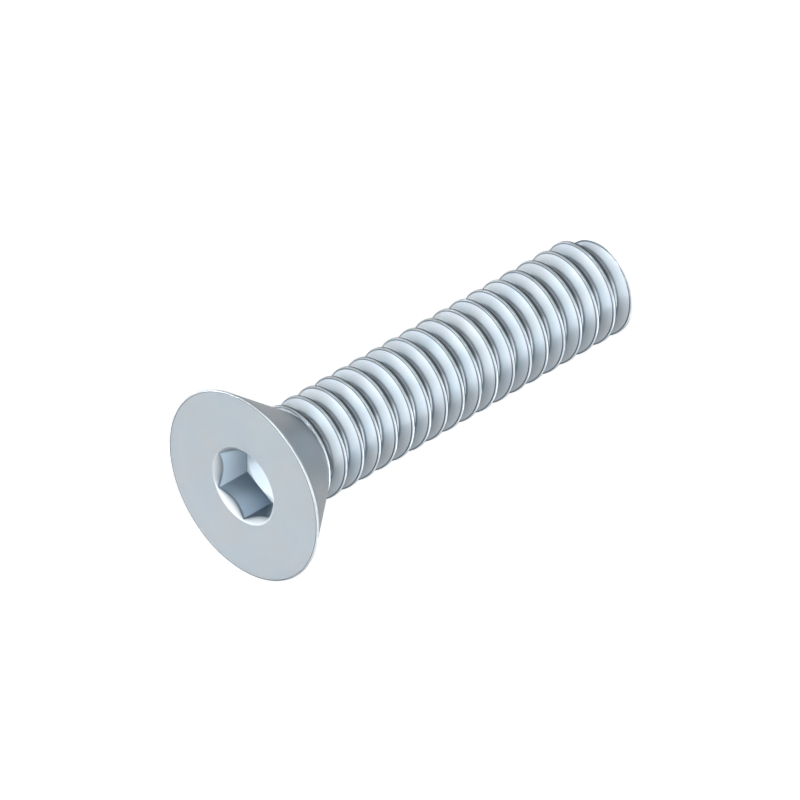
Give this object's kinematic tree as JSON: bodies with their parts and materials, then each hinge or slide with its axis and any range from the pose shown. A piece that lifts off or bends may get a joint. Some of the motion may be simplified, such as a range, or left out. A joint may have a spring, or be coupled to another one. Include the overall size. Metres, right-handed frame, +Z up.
{
  "type": "countersunk screw",
  "caption": "Countersunk screw: flat head with a hexagon socket, steep cone under it and a left-hand thread that runs from the cone to the end.",
  "frame": {"origin": "centre of the head's flat face, on the screw's own axis, with the screw lying as it comes to rest", "axes": "+Z up from the surface it lies on; +X along the shank seen from above, from the head towards the end, with the end tipped 5.84 degrees down; +Y across"},
  "size_m": [0.0228, 0.0094, 0.0092],
  "materials": {
    "zinc_plate": "satin zinc plate with a clear bluish passivation"
  },
  "bodies": {
    "root": {"screw": "zinc_plate"}
  },
  "joints": []
}
